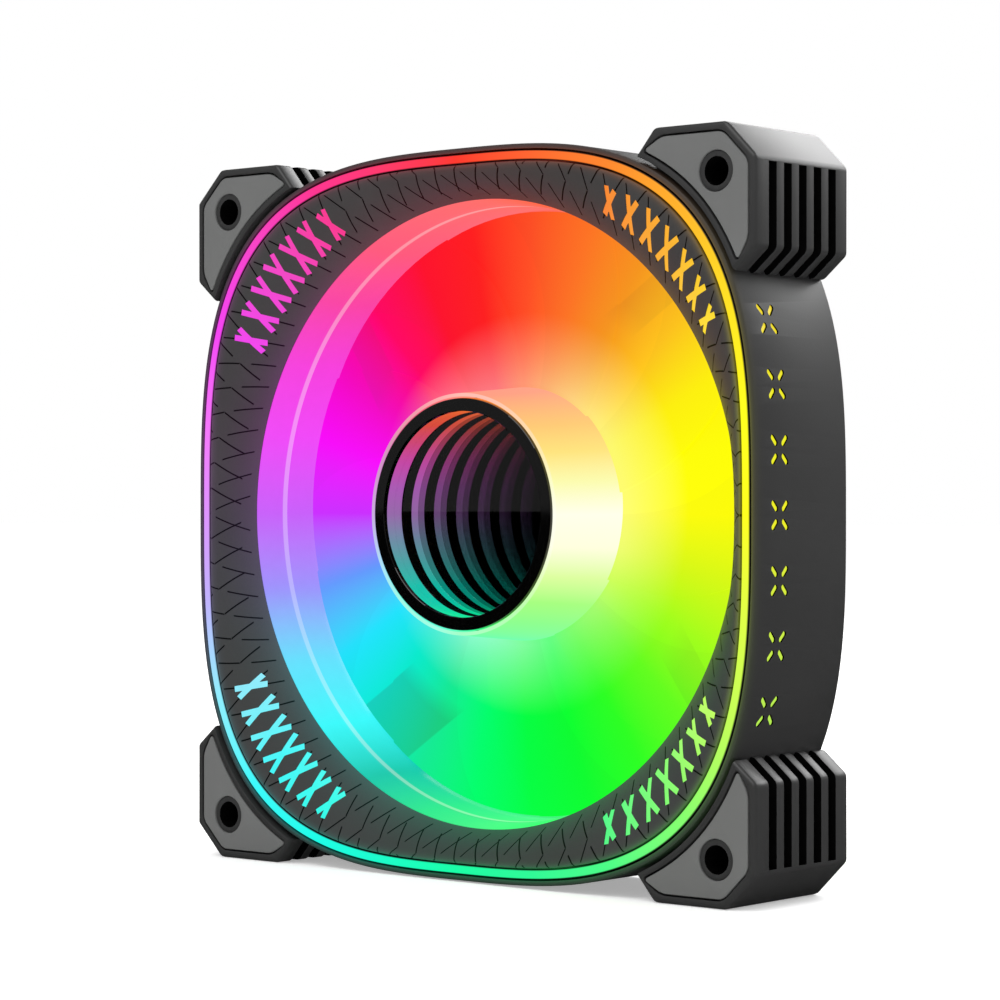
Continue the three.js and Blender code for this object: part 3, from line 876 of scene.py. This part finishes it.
half_silver = Finish("half_silver")
half_silver.paint(Base_Color=grey(1.0), Metallic=1.0, Roughness=0.0, Alpha=0.05)
silver_inside = Finish("silver_inside")
silver_inside.paint(Base_Color=grey(0.54), Metallic=1.0, Roughness=0.0)
away = silver_inside.add("NewGeometry", output="Backfacing")
clear = silver_inside.add("BsdfTransparent")
mixed = silver_inside.add(
    "MixShader", inputs={0: away, 1: Signal(silver_inside, silver_inside.shader.outputs[0]), 2: clear}
)
silver_inside.tree.links.new(mixed.socket, silver_inside.tree.nodes["Material Output"].inputs["Surface"])
lens_mesh = band(rounded([(0, -8.8), (16.88, -8.8), (16.88, -8.4), (0, -8.4)]), 192)
lens = solid("hub_half_mirror", lens_mesh, half_silver)
lens.data.materials.append(silver_inside.material)
for face in lens.data.polygons:
    if face.normal.y > 0.5:
        face.material_index = 1
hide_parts("hub_lens")

silver = Finish("silver")
spot, *_ = silver.place()
silver.paint(
    Base_Color=silver.blend(silver.noise(spot, 30.0), grey(0.89), grey(0.91)), Metallic=1.0, Roughness=0.0
)
mirror_mesh = band(rounded([(0, MIRROR_AT), (19.2, MIRROR_AT), (19.2, -4.8), (0, -4.8)]), 192)
back_mirror = solid("hub_back_mirror", mirror_mesh, silver)
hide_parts("hub_mirror")
for made in (hub_band, tunnel_ring, spacer, lens, back_mirror):
    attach(made, "rotor")


# Motor and lead outlet. Steel, copper, brass and circuit board behind the hub, as they are in the frame.
# Each keeps its own solid and gets the finish of its real material.
solder_mask = Finish("solder_mask")
spot, *_ = solder_mask.place()
tracks = solder_mask.add("TexVoronoi", {"feature": "DISTANCE_TO_EDGE"}, {"Vector": spot, "Scale": 420.0})
trace = ((0.06 - tracks) / 0.02).held()
solder_mask.paint(
    Base_Color=solder_mask.blend(trace, (0.012, 0.05, 0.03, 1.0), (0.03, 0.1, 0.055, 1.0)),
    Roughness=0.35,
    Normal=solder_mask.bump(trace, 0.00003),
)
dress(solder_mask, "led_board", "motor_board")

led_body = Finish("led_body")
_, across, _, up = led_body.place()
led_body.paint(
    Base_Color=grey(0.7),
    Roughness=0.4,
    Emission_Color=rainbow(led_body, across, up, RING_COLOURS),
    Emission_Strength=0.8,
)
dress(led_body, *["led_%d" % number for number in range(1, 9)])

sheet_steel = Finish("sheet_steel")
spot, _, deep, _ = sheet_steel.place()
layers = abs((deep / 0.5) % 1.0 - 0.5)
sheet_steel.paint(
    Base_Color=sheet_steel.blend(sheet_steel.noise(spot, 400.0), grey(0.42), grey(0.56)),
    Metallic=1.0,
    Roughness=layers * 0.2 + 0.3,
    Normal=sheet_steel.bump(layers, 0.00002),
)
dress(sheet_steel, "stator_core", "rotor_yoke", "shaft", "retaining_clip")

copper_wire = Finish("copper_wire")
_, across, _, up = copper_wire.place()
radius = (across * across + up * up) ** 0.5
windings = abs((radius / 0.3) % 1.0 - 0.5)
copper_wire.paint(
    Base_Color=copper_wire.blend(windings, (0.5, 0.17, 0.06, 1.0), (0.72, 0.3, 0.13, 1.0)),
    Metallic=1.0,
    Roughness=0.35,
    Normal=copper_wire.bump(windings, 0.00006),
)
dress(copper_wire, *["coil_%d" % number for number in range(1, 5)])

turned_brass = Finish("turned_brass")
spot, *_ = turned_brass.place()
tarnish = turned_brass.noise(spot, 300.0)
turned_brass.paint(
    Base_Color=turned_brass.blend(tarnish, (0.6, 0.4, 0.14, 1.0), (0.74, 0.54, 0.22, 1.0)),
    Metallic=1.0,
    Roughness=0.28,
)
dress(turned_brass, "bearing_tube", "sleeve_bearing")

ferrite = Finish("ferrite")
spot, *_ = ferrite.place()
ferrite.paint(
    Base_Color=ferrite.blend(ferrite.noise(spot, 900.0), grey(0.02), grey(0.045)),
    Roughness=0.7,
    Normal=ferrite.bump(ferrite.noise(spot, 2500.0), 0.00002),
)
dress(ferrite, "ring_magnet")
dress(gloss_black, "thrust_cap")

lead_rubber = Finish("lead_rubber")
spot, *_ = lead_rubber.place()
lead_rubber.paint(
    Base_Color=lead_rubber.blend(lead_rubber.noise(spot, 400.0), grey(0.012), grey(0.02)),
    Roughness=0.6,
    Normal=lead_rubber.bump(lead_rubber.noise(spot, 3000.0), 0.00001),
)
dress(lead_rubber, "lead_grommet")

# Rear label. A blank silver foil disc stuck in the recess of the motor base.
# Its printed border is a thin dark ring, and nothing is written on it.
foil = Finish("label_foil")
spot, across, _, up = foil.place()
radius = (across * across + up * up) ** 0.5
border = ((0.35 - abs(radius - 16.2)) / 0.06).held()
brushed = foil.noise(spot, 500.0, 4.0)
foil.paint(
    Base_Color=foil.blend(border, foil.blend(brushed, grey(0.5), grey(0.62)), grey(0.03)),
    Metallic=0.6,
    Roughness=brushed * 0.15 + 0.3,
)
dress(foil, "rear_label")


# Floor, light and camera. A plain white studio: pale floor, soft light from all round,
# one long soft box behind and above that rims the blocks, and one above the front.
floor_finish = Finish("pale_floor")
floor_finish.paint(Base_Color=grey(0.9), Roughness=0.9, Emission_Color=grey(1.0), Emission_Strength=0.36)
floor_mesh = bmesh.new()
bmesh.ops.create_grid(floor_mesh, x_segments=1, y_segments=1, size=6000.0)
bmesh.ops.translate(floor_mesh, vec=(0, 0, -60.05), verts=floor_mesh.verts)
floor = solid("floor", floor_mesh, floor_finish)
if floor.data.polygons[0].normal.z < 0:
    floor.data.flip_normals()
floor.visible_glossy = False


def soft_box(name, place, aim, size, power):
    lamp = bpy.data.lights.new(name, "AREA")
    lamp.shape = "RECTANGLE"
    lamp.size, lamp.size_y = size
    lamp.energy = power
    holder = bpy.data.objects.new(name, lamp)
    bpy.context.scene.collection.objects.link(holder)
    holder.location = place
    holder.rotation_euler = (Vector(place) - Vector(aim)).to_track_quat("Z", "Y").to_euler()
    holder.visible_camera = False
    return holder


soft_box("back_top_light", (0.12, 0.8, 0.56), (0.05, 0.0, 0.02), (1.1, 0.5), 8.0)
soft_box("front_top_light", (0.1, -0.6, 0.9), (0.0, 0.0, 0.0), (0.8, 0.6), 4.0)

world = bpy.data.worlds.new("studio")
bpy.context.scene.world = world
world.use_nodes = True
sky = world.node_tree
sky.nodes.clear()


def sky_node(kind, **inputs):
    node = sky.nodes.new("ShaderNode" + kind)
    for key, value in inputs.items():
        socket = node.inputs[int(key[1:])] if key[0] == "i" and key[1:].isdigit() else node.inputs[key]
        if isinstance(value, bpy.types.NodeSocket):
            sky.links.new(value, socket)
        else:
            socket.default_value = value
    return node


looking = sky_node("TexCoord")
parts = sky_node("SeparateXYZ", i0=looking.outputs["Generated"])
above = sky.nodes.new("ShaderNodeMapRange")
above.inputs["From Min"].default_value = -0.004
above.inputs["From Max"].default_value = -0.0035
sky.links.new(parts.outputs["Z"], above.inputs["Value"])
gloss_sky = sky_node("Mix")
gloss_sky.data_type = "RGBA"
sky.links.new(above.outputs["Result"], gloss_sky.inputs[0])
gloss_sky.inputs[6].default_value = grey(0.0)
gloss_sky.inputs[7].default_value = grey(0.22)
rays = sky_node("LightPath")
plain = sky_node("Background", Color=grey(1.0), Strength=0.78)
glossy = sky_node("Background", Color=gloss_sky.outputs[2], Strength=1.0)
seen = sky_node("Background", Color=grey(1.0), Strength=1.0)
first_mix = sky_node("MixShader", i0=rays.outputs["Is Glossy Ray"], i1=plain.outputs[0], i2=glossy.outputs[0])
last_mix = sky_node(
    "MixShader", i0=rays.outputs["Is Camera Ray"], i1=first_mix.outputs[0], i2=seen.outputs[0]
)
sky_node("OutputWorld", Surface=last_mix.outputs[0])

scene = bpy.context.scene
scene.view_settings.view_transform = "Standard"
scene.view_settings.look = "None"
scene.view_settings.exposure = 0.0
scene.view_settings.gamma = 1.0
scene.cycles.max_bounces = 24
scene.cycles.glossy_bounces = 20
scene.cycles.diffuse_bounces = 3
scene.cycles.transparent_max_bounces = 32

lens_camera = bpy.data.cameras.new("camera")
lens_camera.lens = 110.61
lens_camera.sensor_width = 36.0
lens_camera.clip_start = 0.01
camera = bpy.data.objects.new("camera", lens_camera)
scene.collection.objects.link(camera)
camera.location = (0.32915, -0.3912, 0.00233)
camera.rotation_euler = (math.radians(90), 0, math.radians(40.158))
scene.camera = camera
